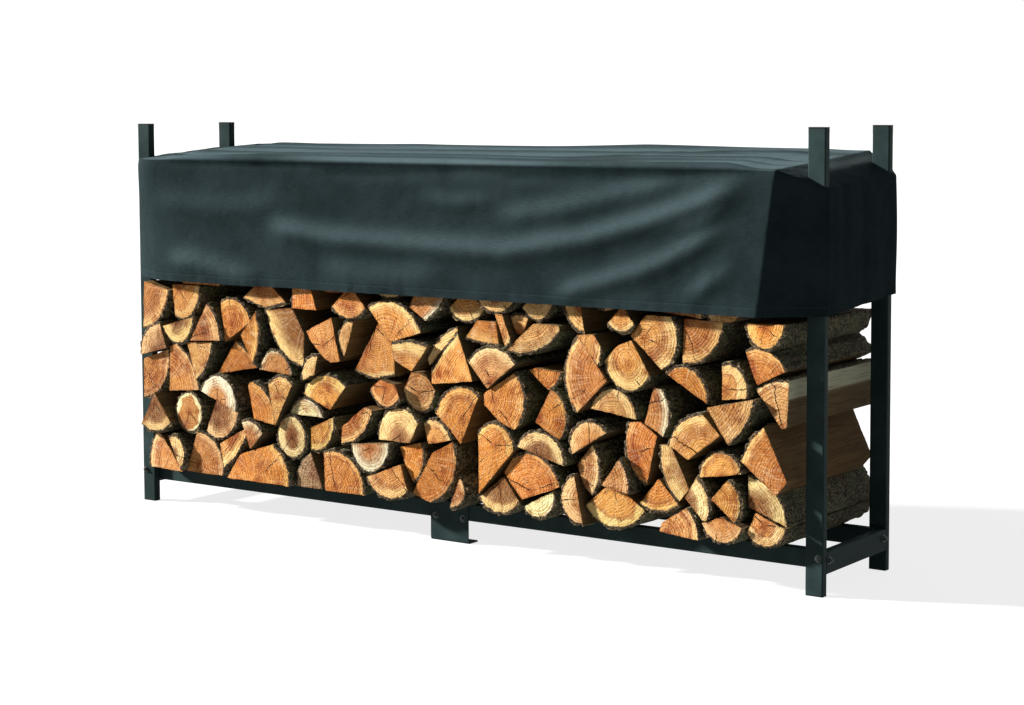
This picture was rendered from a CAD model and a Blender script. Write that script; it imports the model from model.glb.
"""Looks of a long firewood rack: a bolted steel frame, a stack of split logs and a fitted cloth cover."""

import logging
import math
from dataclasses import dataclass, field
from enum import Enum
from typing import Any, Optional, Sequence, Union

import bmesh
import bpy
import numpy as np
from mathutils import Matrix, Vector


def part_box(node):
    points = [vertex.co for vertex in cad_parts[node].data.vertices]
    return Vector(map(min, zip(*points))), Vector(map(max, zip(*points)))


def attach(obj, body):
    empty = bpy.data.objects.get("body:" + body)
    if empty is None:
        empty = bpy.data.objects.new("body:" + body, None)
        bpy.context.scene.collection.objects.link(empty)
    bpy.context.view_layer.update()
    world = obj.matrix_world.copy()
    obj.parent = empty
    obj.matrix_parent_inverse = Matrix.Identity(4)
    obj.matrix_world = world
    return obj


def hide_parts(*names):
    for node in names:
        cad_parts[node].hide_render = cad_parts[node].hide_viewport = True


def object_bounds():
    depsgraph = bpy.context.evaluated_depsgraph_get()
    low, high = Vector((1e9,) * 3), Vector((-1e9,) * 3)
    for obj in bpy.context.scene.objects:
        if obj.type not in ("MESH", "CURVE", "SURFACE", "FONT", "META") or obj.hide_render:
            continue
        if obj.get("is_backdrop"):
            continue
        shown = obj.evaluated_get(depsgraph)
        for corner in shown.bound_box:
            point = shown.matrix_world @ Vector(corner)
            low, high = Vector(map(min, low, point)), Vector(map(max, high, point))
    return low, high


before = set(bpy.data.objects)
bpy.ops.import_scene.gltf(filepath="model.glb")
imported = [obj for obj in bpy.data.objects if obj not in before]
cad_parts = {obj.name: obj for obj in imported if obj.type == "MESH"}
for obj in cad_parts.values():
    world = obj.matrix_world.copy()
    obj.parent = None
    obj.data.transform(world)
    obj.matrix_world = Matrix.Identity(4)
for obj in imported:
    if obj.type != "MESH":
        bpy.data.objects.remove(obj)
CAD_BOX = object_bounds()
LOGGER = logging.getLogger("firewood_rack")
BODY = "root"
FACES, ENDS = ("front", "back"), ("left", "right")
UPRIGHTS = tuple(f"{face}_{end}_upright" for face in FACES for end in ENDS)
UP = np.array([0.0, 0.0, 1.0])

Array = np.ndarray
Colour = tuple[float, float, float]
Input = Union["Wire", float, Sequence[float]]


def linear(code: str) -> Colour:
    """Turns a screen colour such as "c98546" into the linear numbers that shaders take.

    Args:
        code: six hexadecimal digits, red first.

    Returns:
        Red, green and blue from 0 to 1.
    """
    parts = [int(code[i : i + 2], 16) / 255 for i in (0, 2, 4)]
    return tuple(p / 12.92 if p <= 0.04045 else ((p + 0.055) / 1.055) ** 2.4 for p in parts)


def ease(value: Array, low: float, high: float) -> Array:
    """Rises smoothly from 0 at low to 1 at high: 3t squared less 2t cubed.

    Args:
        value: numbers to map.
        low: where the rise starts; above high the curve falls instead.
        high: where it ends.

    Returns:
        Numbers from 0 to 1.
    """
    t = np.clip((np.asarray(value, float) - low) / (high - low), 0, 1)
    return t * t * (3 - 2 * t)


def unit(vectors: Array) -> Array:
    """Vectors along the last axis, each drawn to a length of 1."""
    return vectors / np.maximum(np.linalg.norm(vectors, axis=-1, keepdims=True), 1e-9)


def solid_points(name: str) -> Array:
    """Points of one of the frame's solids, in the order of its mesh."""
    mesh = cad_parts[name].data
    places = np.empty(len(mesh.vertices) * 3)
    mesh.vertices.foreach_get("co", places)
    return places.reshape(-1, 3)


def set_out(name: str, data: Any) -> bpy.types.Object:
    """Puts an object with that data into the scene, at the origin."""
    thing = bpy.data.objects.new(name, data)
    bpy.context.scene.collection.objects.link(thing)
    return thing


class Lattice:
    """Seeded smooth noise: random values on a lattice, blended along each axis with the ease curve."""

    PRIMES = (73856093, 19349663, 83492791)
    COUNT = 8192

    def __init__(self, seed: int) -> None:
        """Draws the lattice values for this seed."""
        self.values = np.random.default_rng(seed).random(self.COUNT)

    def at(self, *axes: Any) -> Array:
        """Noise at points, one array for each axis.

        Args:
            axes: one to three coordinates that broadcast together, in lattice steps.

        Returns:
            Values from 0 to 1.
        """
        points = np.broadcast_arrays(*[np.asarray(a, float) for a in axes])
        cells = [np.floor(p).astype(np.int64) for p in points]
        blends = [ease(p - c, 0, 1) for p, c in zip(points, cells)]
        total = np.zeros(points[0].shape)
        for corner in range(2 ** len(points)):
            weight, key = np.ones(points[0].shape), np.zeros(points[0].shape, np.int64)
            for axis, (cell, blend) in enumerate(zip(cells, blends)):
                bit = corner >> axis & 1
                weight = weight * (blend if bit else 1 - blend)
                key = key ^ ((cell + bit) * self.PRIMES[axis])
            total += weight * self.values[key & (self.COUNT - 1)]
        return total

    def rough(self, *axes: Any) -> Array:
        """Noise of three octaves, each half as strong as the one before, from 0 to 1."""
        parts = [self.at(*[np.asarray(a) * 2.03**k for a in axes]) / 2**k for k in range(3)]
        return sum(parts) / 1.75


@dataclass
class Surface:
    """A mesh in the making: points, faces and the values that its material reads."""

    points: Array
    corners: Array
    sizes: Array
    point_values: dict[str, Array] = field(default_factory=dict)
    face_values: dict[str, Array] = field(default_factory=dict)
    uv: Optional[Array] = None

    @staticmethod
    def ring_grid(rows: int, columns: int) -> Array:
        """Quads of a grid whose points run along each row in turn, and whose last column joins the first.

        Args:
            rows: number of rows of points.
            columns: number of points in a row.

        Returns:
            Four point numbers for each quad, turning left when rows go up and columns go right.
        """
        i, j = np.arange(rows - 1)[:, None] * columns, np.arange(columns)[None, :]
        k = (j + 1) % columns
        return np.stack([i + j, i + k, i + columns + k, i + columns + j], -1).reshape(-1, 4)

    @classmethod
    def joined(cls, parts: Sequence["Surface"]) -> "Surface":
        """One surface that holds several side by side.

        Args:
            parts: surfaces with the same value names.

        Returns:
            The joined surface.
        """
        starts = np.cumsum([0] + [len(p.points) for p in parts[:-1]])
        return cls(
            np.concatenate([p.points for p in parts]),
            np.concatenate([p.corners + s for p, s in zip(parts, starts)]),
            np.concatenate([p.sizes for p in parts]),
            {k: np.concatenate([p.point_values[k] for p in parts]) for k in parts[0].point_values},
            {k: np.concatenate([p.face_values[k] for p in parts]) for k in parts[0].face_values},
        )

    def build(self, name: str, material: bpy.types.Material, slot: str, sharp: float) -> bpy.types.Object:
        """Makes the piece, smooth but for edges over an angle, and lets it ride on the rack.

        Args:
            name: the piece's name.
            material: its finish.
            slot: the record's material slot.
            sharp: angle in degrees over which an edge stays sharp.

        Returns:
            The piece at the origin, with its place in its mesh.
        """
        mesh = bpy.data.meshes.new(name)
        mesh.vertices.add(len(self.points))
        mesh.vertices.foreach_set("co", self.points.astype(np.float32).ravel())
        mesh.loops.add(len(self.corners))
        mesh.loops.foreach_set("vertex_index", self.corners.astype(np.int32))
        mesh.polygons.add(len(self.sizes))
        starts = np.concatenate([[0], np.cumsum(self.sizes)[:-1]])
        mesh.polygons.foreach_set("loop_start", starts.astype(np.int32))
        mesh.update(calc_edges=True)
        for domain, group in (("POINT", self.point_values), ("FACE", self.face_values)):
            for key, value in group.items():
                kind, part = ("FLOAT", "value") if value.ndim == 1 else ("FLOAT_VECTOR", "vector")
                data = mesh.attributes.new(key, kind, domain).data
                data.foreach_set(part, value.astype(np.float32).ravel())
        if self.uv is not None:
            layer = mesh.uv_layers.new(name="cloth")
            layer.data.foreach_set("uv", self.uv[self.corners].astype(np.float32).ravel())
        mesh.polygons.foreach_set("use_smooth", np.ones(len(self.sizes), bool))
        mesh.set_sharp_from_angle(angle=math.radians(sharp))
        mesh.materials.append(material)
        piece = set_out(name, mesh)
        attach(piece, BODY)
        return piece


class Wire:
    """A value in a node tree. Its arithmetic adds Math nodes to the tree."""

    def __init__(self, graph: "Graph", socket: bpy.types.NodeSocket) -> None:
        """Takes an output socket of that graph."""
        self.graph, self.socket = graph, socket

    def __add__(self, other: Input) -> "Wire":
        """The sum."""
        return self.graph.calc("ADD", self, other)

    def __sub__(self, other: Input) -> "Wire":
        """What is left of this less the other."""
        return self.graph.calc("SUBTRACT", self, other)

    def __rsub__(self, other: Input) -> "Wire":
        """What is left of the other less this."""
        return self.graph.calc("SUBTRACT", other, self)

    def __mul__(self, other: Input) -> "Wire":
        """The product."""
        return self.graph.calc("MULTIPLY", self, other)

    def __truediv__(self, other: Input) -> "Wire":
        """The quotient."""
        return self.graph.calc("DIVIDE", self, other)


class Blend(Enum):
    """How one colour goes on another."""

    OVER = "MIX"
    SHADE = "MULTIPLY"


class Graph:
    """The node tree of a material or of the world, written as sums of wires."""

    def __init__(self, owner: Union[bpy.types.Material, bpy.types.World]) -> None:
        """Starts an empty tree."""
        owner.use_nodes = True
        self.owner, self.tree = owner, owner.node_tree
        self.tree.nodes.clear()

    def node(self, kind: str, inputs: dict[Any, Input], **settings: Any) -> bpy.types.Node:
        """Adds a node and feeds its inputs.

        Args:
            kind: the node's type.
            inputs: a wire or a constant for each input, by name or number.
            settings: its own options.

        Returns:
            The node.
        """
        node = self.tree.nodes.new(kind)
        for key, value in settings.items():
            setattr(node, key, value)
        for key, value in inputs.items():
            socket = node.inputs[key]
            if isinstance(value, Wire):
                self.tree.links.new(value.socket, socket)
            elif isinstance(value, (int, float)):
                socket.default_value = value
            else:
                socket.default_value = (tuple(value) + (1.0,))[: len(socket.default_value)]
        return node

    def wire(self, kind: str, inputs: dict[Any, Input], output: Any = 0, **settings: Any) -> Wire:
        """Adds a node as above, and gives one of its outputs, by name or number."""
        return Wire(self, self.node(kind, inputs, **settings).outputs[output])

    def calc(self, operation: str, *values: Input) -> Wire:
        """The result of a Math node on one or two numbers."""
        return self.wire("ShaderNodeMath", dict(enumerate(values)), operation=operation)

    def arrow(self, operation: str, *values: Input) -> Wire:
        """The vector result of a Vector Math node."""
        return self.wire("ShaderNodeVectorMath", dict(enumerate(values)), operation=operation)

    def split(self, vector: Wire) -> list[Wire]:
        """The three parts of a vector."""
        return [Wire(self, part) for part in self.node("ShaderNodeSeparateXYZ", {0: vector}).outputs]

    def pack(self, *parts: Input) -> Wire:
        """A vector from its parts; what isn't given is 0."""
        return self.wire("ShaderNodeCombineXYZ", dict(enumerate(parts)))

    def noise(self, vector: Wire, scale: float, detail: float = 2.0, rough: float = 0.5) -> Wire:
        """Noise from 0 to 1 at a vector.

        Args:
            vector: where to read it.
            scale: features for each unit.
            detail: number of octaves.
            rough: strength of each octave against the one before.

        Returns:
            The noise's factor.
        """
        inputs = {"Vector": vector, "Scale": scale, "Detail": detail, "Roughness": rough}
        return self.wire("ShaderNodeTexNoise", inputs)

    def rise(self, value: Wire, low: Input, high: Input) -> Wire:
        """Rises smoothly from 0 at low to 1 at high."""
        inputs = {0: value, 1: low, 2: high}
        return self.wire("ShaderNodeMapRange", inputs, interpolation_type="SMOOTHSTEP", clamp=True)

    def wave(self, value: Wire, step: float) -> Wire:
        """A sine wave that comes round with every step."""
        return self.calc("SINE", value * (2 * math.pi / step))

    def mix(self, factor: Wire, under: Input, over: Input, blend: Blend = Blend.OVER) -> Wire:
        """Lays a colour on another: none of it at a factor of 0, all of it at 1."""
        settings = {"data_type": "RGBA", "blend_type": blend.value, "clamp_factor": True}
        return self.wire("ShaderNodeMix", {0: factor, 6: under, 7: over}, 2, **settings)

    def layered(self, colour: Input, layers: Sequence[tuple[Wire, Input, Input, Blend]]) -> Wire:
        """Lays colours on one another in turn.

        Args:
            colour: the lowest colour.
            layers: for each layer where it is, how strong it is, its colour and how it goes on.

        Returns:
            The colour that is seen.
        """
        for mask, strength, tint, blend in layers:
            colour = self.mix(mask * strength, colour, tint, blend)
        return colour

    def value(self, name: str, output: str = "Fac") -> Wire:
        """A value that the mesh carries: output is Fac or Vector."""
        return self.wire("ShaderNodeAttribute", {}, output, attribute_name=name)

    def place(self, output: str = "Object") -> Wire:
        """Where on the piece the surface is, as Object or UV coordinates."""
        return self.wire("ShaderNodeTexCoord", {}, output)

    def bump(self, *heights: tuple[Wire, float, float]) -> Wire:
        """A normal raised by heights, each on top of the one before.

        Args:
            heights: for each a height from 0 to 1, the metres that 1 stands for and the share of the effect.

        Returns:
            The normal.
        """
        under: dict[str, Wire] = {}
        for height, distance, strength in heights:
            inputs = {"Height": height, "Distance": distance, "Strength": strength, **under}
            under = {"Normal": self.wire("ShaderNodeBump", inputs)}
        return under["Normal"]

    def finish(self, inputs: dict[str, Input]) -> bpy.types.Material:
        """Ends the tree with the surface shader, fed by wires or constants, and gives the material."""
        shader = self.wire("ShaderNodeBsdfPrincipled", inputs)
        self.node("ShaderNodeOutputMaterial", {"Surface": shader})
        return self.owner


@dataclass(frozen=True)
class PowderCoat:
    """Dark green-black baked powder on steel tube, with a fine orange peel, dust and rubbed edges."""

    name: str = "powder_coat"
    colour: Colour = linear("334343")
    dust: Colour = linear("59655f")
    dark: Colour = linear("273535")

    def material(self) -> bpy.types.Material:
        """Broad cloudy tone, dust specks and the peel's bump, all on Object coordinates."""
        g = Graph(bpy.data.materials.new(self.name))
        place = g.place()
        cloud = g.noise(place, 9.0, 4.0, 0.6)
        speck = g.rise(g.noise(place, 260.0, 3.0, 0.7), 0.62, 0.78)
        drift = g.rise(g.noise(place, 22.0, 5.0, 0.65), 0.5, 0.8)
        colour = g.mix(g.rise(cloud, 0.35, 0.7), self.dark, self.colour)
        return g.finish({
            "Base Color": g.mix(speck * (drift * 0.5 + 0.08), colour, self.dust),
            "Roughness": cloud * 0.22 + 0.36,
            "Normal": g.bump((g.noise(place, 520.0), 0.0004, 0.35)),
            "Specular IOR Level": 0.03,
        })


@dataclass(frozen=True)
class MouldedPlastic:
    """Black moulded plastic of the caps and ground plugs, scuffed."""

    name: str = "moulded_plastic"
    colour: Colour = linear("1a1e1d")
    scuff: Colour = linear("3c4240")

    def material(self) -> bpy.types.Material:
        """Fine spark-eroded grain with a few pale scuffs."""
        g = Graph(bpy.data.materials.new(self.name))
        place = g.place()
        scuff = g.rise(g.noise(place, 120.0, 5.0, 0.7), 0.58, 0.75)
        return g.finish({
            "Base Color": g.mix(scuff * 0.4, self.colour, self.scuff),
            "Roughness": scuff * 0.2 + 0.5,
            "Normal": g.bump((g.noise(place, 1500.0, 1.0), 0.0002, 0.4)),
            "Specular IOR Level": 0.08,
        })


@dataclass(frozen=True)
class BoltSteel:
    """Zinc-black steel of the bolts, nuts and washers."""

    name: str = "bolt_steel"
    colour: Colour = linear("4a504e")
    dark: Colour = linear("232827")

    def material(self) -> bpy.types.Material:
        """Mottled plating, brighter where it is rubbed."""
        g = Graph(bpy.data.materials.new(self.name))
        cloud = g.noise(g.place(), 300.0, 4.0, 0.6)
        return g.finish({
            "Base Color": g.mix(g.rise(cloud, 0.4, 0.65), self.dark, self.colour),
            "Metallic": 0.75,
            "Roughness": cloud * 0.3 + 0.25,
            "Normal": g.bump((cloud, 0.0003, 0.3)),
        })


@dataclass(frozen=True)
class CoverCloth:
    """Coated woven polyester: charcoal with a blue-green cast, a plain weave and a stitched hem."""

    name: str = "cover_cloth"
    colour: Colour = linear("1f2a2d")
    worn: Colour = linear("2b373a")
    thread: Colour = linear("364344")
    dust: Colour = linear("54666b")
    sheen: Colour = (0.72, 0.86, 0.88)
    weave_step: float = 0.0011
    stitch_step: float = 0.006
    stitch_height: float = 0.022

    def material(self) -> bpy.types.Material:
        """The weave is two crossed sine waves on the cloth's own UV map, which is in metres up from the hem.

        The cloth is paler where it is rubbed, on the crests of its folds, and dusty where it lies level.
        """
        g = Graph(bpy.data.materials.new(self.name))
        place = g.place()
        u, v, _ = g.split(g.place("UV"))
        weave = g.wave(u, self.weave_step) * g.wave(v, self.weave_step) * 0.5 + 0.5
        cloud = g.noise(place, 5.0, 5.0, 0.6)
        slub = g.noise(g.pack(u * 40.0, v * 420.0), 1.0, 3.0, 0.6)
        off = g.calc("ABSOLUTE", v - self.stitch_height)
        stitch = (1 - g.rise(off, 0.0006, 0.0014)) * g.rise(g.wave(u, self.stitch_step), -0.5, 0.1)
        ditch = 1 - g.rise(off, 0.001, 0.005)
        crumple = g.calc("ABSOLUTE", g.noise(place, 9.0, 2.0, 0.4) - 0.5)
        crinkle = g.noise(place, 55.0, 4.0, 0.6)
        colour = g.layered(self.colour, (
            (g.rise(slub * 0.35 + cloud * 0.65, 0.36, 0.66), 1.0, self.worn, Blend.OVER),
            (g.value("crest"), slub * 0.5 + 0.15, self.dust, Blend.OVER),
            (g.value("level"), cloud * 0.5 + 0.6, self.dust, Blend.OVER),
            (stitch, 0.8, self.thread, Blend.OVER),
        ))
        normal = g.bump((crumple, 0.06, 0.08), (crinkle, 0.0025, 0.35), (weave, 0.0003, 0.5),
                        (stitch * 0.6 - ditch, 0.0012, 0.4))
        return g.finish({
            "Base Color": colour,
            "Roughness": cloud * 0.16 + 0.56,
            "Normal": normal,
            "Sheen Weight": 0.08,
            "Sheen Roughness": 0.2,
            "Sheen Tint": self.sheen,
            "Specular IOR Level": 0.004,
        })


@dataclass(frozen=True)
class Timber:
    """Colours of one kind of log end, the width of its pale sapwood and its share of the stack."""

    heart: Colour
    sap: Colour
    sap_width: float
    share: float


class Wood(Enum):
    """Kinds of log that lie in the stack, by the look of their ends."""

    HONEY = Timber(linear("cc924e"), linear("e8c080"), 0.030, 0.42)
    ORANGE = Timber(linear("c8833d"), linear("e4ae66"), 0.022, 0.20)
    RED_HEART = Timber(linear("b4763f"), linear("e2b67a"), 0.034, 0.12)
    TAN = Timber(linear("c9995f"), linear("e6c189"), 0.036, 0.14)
    WHITE_RIM = Timber(linear("b67d48"), linear("f3e2c0"), 0.022, 0.03)
    DARK_HEART = Timber(linear("8a5a31"), linear("ebc98f"), 0.046, 0.09)
    PALE = Timber(linear("f6eab4"), linear("f8f0cc"), 0.010, 0.0)
    GREY = Timber(linear("94795c"), linear("b9a283"), 0.014, 0.0)


class LogWires:
    """What a face knows of its log: place from the pith, the log's numbers and colours, and distances."""

    def __init__(self, g: Graph) -> None:
        """Reads the values that the meshes of the logs carry."""
        self.grain = g.value("grain", "Vector")
        self.seed, self.ring_width, self.sap_width = g.split(g.value("trait", "Vector"))
        self.place = g.arrow("ADD", self.grain, g.pack(*(self.seed * k for k in (7.3, 3.1, 5.7))))
        self.heart, self.sap = g.value("heart", "Vector"), g.value("sap", "Vector")
        self.from_bark, self.from_edge = g.value("gap"), g.value("edge")
        self.at_end, self.barked, self.bleached = g.value("end"), g.value("barked"), g.value("weather")


@dataclass(frozen=True)
class SplitWood:
    """Sawn, split and barked faces of the firewood, worked out from the log that each point belongs to."""

    name: str = "split_wood"
    bark: Colour = linear("38332a")
    bark_pale: Colour = linear("8c7b64")
    moss: Colour = linear("636b4b")
    lichen: Colour = linear("989a80")
    weathered: Colour = linear("8c8870")
    bleached: Colour = linear("e2e4c6")
    late_wood: Colour = linear("b87a36")
    stain: Colour = linear("ab6a35")
    crack: Colour = linear("2a1a10")
    saw_shade: Colour = (0.58, 0.44, 0.32)
    saw_light: Colour = (1.0, 0.84, 0.58)
    smudge: Colour = (0.56, 0.42, 0.28)
    ray_light: Colour = (1.0, 0.8, 0.5)
    ray_shade: Colour = (0.6, 0.42, 0.28)
    fleck_shade: Colour = (0.5, 0.34, 0.22)
    fleck_light: Colour = (1.0, 0.86, 0.6)
    grime: Colour = (0.42, 0.3, 0.2)
    age_shade: Colour = (0.42, 0.38, 0.34)
    fibre_shade: Colour = (0.42, 0.33, 0.26)

    def material(self) -> bpy.types.Material:
        """Growth rings by distance from the pith, sapwood by distance from the bark, and long fibres."""
        g = Graph(bpy.data.materials.new(self.name))
        log = LogWires(g)
        end, end_height = self.end_grain(g, log)
        side, side_height = self.long_grain(g, log)
        height = end_height * log.at_end + side_height * (1 - log.at_end)
        return g.finish({
            "Base Color": g.mix(log.at_end, side, end),
            "Roughness": 0.8,
            "Normal": g.bump((height, 0.006, 1.0)),
            "Specular IOR Level": 0.1,
        })

    @staticmethod
    def heartwood(g: Graph, log: LogWires) -> Wire:
        """Whether a point is heartwood: its uneven distance from the bark, against the sapwood's width.

        Args:
            g: the tree.
            log: what the face knows of its log.

        Returns:
            0 in the sapwood and 1 in the heartwood, with a border that is crisp or soft by the log's seed.
        """
        broad = g.noise(log.place, 9.0) * 0.05 - 0.025
        small = g.noise(log.place, 34.0, 4.0, 0.7) * 0.026 - 0.013
        blur = g.calc("FRACT", log.seed * 5.0)
        low, high = blur * -0.6 + 0.75, blur * 0.8 + 1.15
        return g.rise(log.from_bark + broad + small, log.sap_width * low, log.sap_width * high)

    @staticmethod
    def saw_strokes(g: Graph, log: LogWires, x: Wire, z: Wire) -> Wire:
        """Marks of the saw: noise drawn out along a direction that the log's seed picks.

        Args:
            g: the tree.
            log: what the face knows of its log.
            x: place across from the pith.
            z: place up from the pith.

        Returns:
            Noise from 0 to 1.
        """
        tilt = log.seed * 40.0
        cosine, sine = g.calc("COSINE", tilt), g.calc("SINE", tilt)
        across, along = x * cosine + z * sine, z * cosine - x * sine
        return g.noise(g.pack(across * 330.0, along * 22.0, log.seed), 1.0, 3.0, 0.6)

    @staticmethod
    def cracks(g: Graph, log: LogWires, radius: Wire, angle: Wire) -> Wire:
        """Drying cracks: thin lines out from the pith, one in each sector whose chance is high enough.

        Args:
            g: the tree.
            log: what the face knows of its log.
            radius: distance from the pith.
            angle: direction from the pith.

        Returns:
            1 in a crack and 0 beside it.
        """
        drift = g.noise(g.pack(radius * 34.0, log.seed), 1.0, 3.0, 0.65) * 0.4 - 0.2
        turns = angle * 0.8 + log.seed * 9.0 + drift
        aside = g.calc("ABSOLUTE", g.calc("FRACT", turns) - 0.5) * (radius * 1.25)
        chance = g.noise(g.pack(g.calc("FLOOR", turns) * 3.7, log.seed, radius * 20.0), 1.0)
        width = g.rise(chance, 0.5, 0.66) * 0.0022
        return g.rise(aside, width, 0.0) * g.rise(chance, 0.5, 0.56)

    def end_grain(self, g: Graph, log: LogWires) -> tuple[Wire, Wire]:
        """Colour and height of a sawn end: rings, rays, saw strokes, cracks, sapwood and a rim of bark.

        A ring's late wood darkens slowly outwards and then stops short. Rings are counted by the distance
        from the pith in ring widths.

        Args:
            g: the tree.
            log: what the face knows of its log.

        Returns:
            Colour and height.
        """
        x, _, z = g.split(log.grain)
        radius, angle = g.calc("SQRT", x * x + z * z), g.calc("ARCTAN2", z, x)
        bent = radius + (g.noise(log.place, 16.0, 4.0, 0.6) * 0.022 - 0.011)
        years = bent / log.ring_width + g.noise(g.pack(bent * 45.0, log.seed), 1.0) * 2.4
        ring = g.calc("FRACT", years)
        late = g.rise(ring, 0.25, 0.9) * (1 - g.rise(ring, 0.9, 1.0))
        ray = g.noise(g.pack(angle * 16.0, radius * 14.0, log.seed), 1.0, 4.0, 0.7)
        tone = g.noise(log.place, 13.0, 4.0, 0.65)
        fleck = g.noise(log.place, 210.0, 4.0, 0.75)
        spots = g.noise(log.place, 36.0, 5.0, 0.7)
        chip = g.noise(log.place, 190.0, 3.0, 0.7)
        ragged = g.noise(log.place, 120.0, 4.0, 0.8) * 0.017 - 0.0085
        inside, stroke = self.heartwood(g, log), self.saw_strokes(g, log, x, z)
        crack = self.cracks(g, log, radius, angle)
        border = g.calc("FRACT", log.seed * 13.0) * 0.6 + 0.1
        rim = g.rise(log.from_bark + ragged, 0.0065, 0.0045)
        bark = g.mix(g.rise(chip, 0.46, 0.6), self.bark, self.bark_pale)
        colour = g.layered(g.mix(inside, log.sap, log.heart), (
            (inside * (1 - inside) * 4.0, border, self.stain, Blend.SHADE),
            (late * g.rise(tone, 0.25, 0.65), 0.75, self.late_wood, Blend.SHADE),
            (g.rise(stroke, 0.5, 0.3), 0.5, self.saw_shade, Blend.SHADE),
            (g.rise(stroke, 0.55, 0.72), 0.3, self.saw_light, Blend.OVER),
            (g.rise(tone, 0.5, 0.72), 0.75, self.stain, Blend.SHADE),
            (g.rise(spots, 0.5, 0.72), 0.75, self.smudge, Blend.SHADE),
            (g.rise(ray, 0.5, 0.75), 0.4, self.ray_light, Blend.OVER),
            (g.rise(ray, 0.48, 0.25), 0.55, self.ray_shade, Blend.SHADE),
            (g.rise(fleck, 0.46, 0.3), 0.8, self.fleck_shade, Blend.SHADE),
            (g.rise(fleck, 0.56, 0.72), 0.35, self.fleck_light, Blend.OVER),
            (g.rise(bent, 0.024, 0.004) * inside, 0.6, self.stain, Blend.SHADE),
            (crack, 1.0, self.crack, Blend.OVER),
            (rim, 1.0, bark, Blend.OVER),
            (g.rise(log.from_edge + ragged, 0.009, 0.0), 0.55, self.grime, Blend.SHADE),
        ))
        wood = stroke * 0.45 - late * 0.12 + fleck * 0.35 + g.calc("SINE", bent / 0.00045) * 0.015
        return colour, wood - crack * 0.9 + rim * (chip * 0.8 - 0.5)

    def long_grain(self, g: Graph, log: LogWires) -> tuple[Wire, Wire]:
        """Colour and height of a log's side: split fibres, or furrowed bark with some moss and lichen.

        Args:
            g: the tree.
            log: what the face knows of its log.

        Returns:
            Colour and height.
        """
        def drawn(across: float, along: float, detail: float, rough: float) -> Wire:
            """Noise with so many features for each metre across and along the log."""
            return g.noise(g.arrow("MULTIPLY", log.place, (across, along, across)), 1.0, detail, rough)

        fibre, streak = drawn(260.0, 9.0, 4.0, 0.65), drawn(60.0, 3.0, 3.0, 0.6)
        scale, speck = drawn(95.0, 40.0, 4.0, 0.65), drawn(200.0, 110.0, 3.0, 0.75)
        age = g.calc("FRACT", log.seed * 17.0) * 0.4 + 0.5
        wood = g.layered(g.mix(g.rise(streak, 0.35, 0.65), log.heart, log.sap), (
            (age, 1.0, self.weathered, Blend.OVER),
            (1 - log.bleached, 1.0, self.age_shade, Blend.SHADE),
            (log.bleached, 0.85, self.bleached, Blend.OVER),
            (g.rise(fibre, 0.55, 0.3), 0.7, self.fibre_shade, Blend.SHADE),
        ))
        damp = g.noise(log.place, 12.0, 3.0, 0.6)
        bark = g.layered(self.bark, (
            (g.rise(scale, 0.45, 0.68), 1.0, self.bark_pale, Blend.OVER),
            (g.rise(damp, 0.44, 0.62), 0.6, self.moss, Blend.OVER),
            (g.rise(speck, 0.52, 0.58), 0.85, self.lichen, Blend.OVER),
        ))
        height = (1 - log.barked) * (fibre * 0.4) + log.barked * (scale * 1.4)
        return g.mix(g.rise(log.barked, 0.35, 0.65), wood, bark), height


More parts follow.
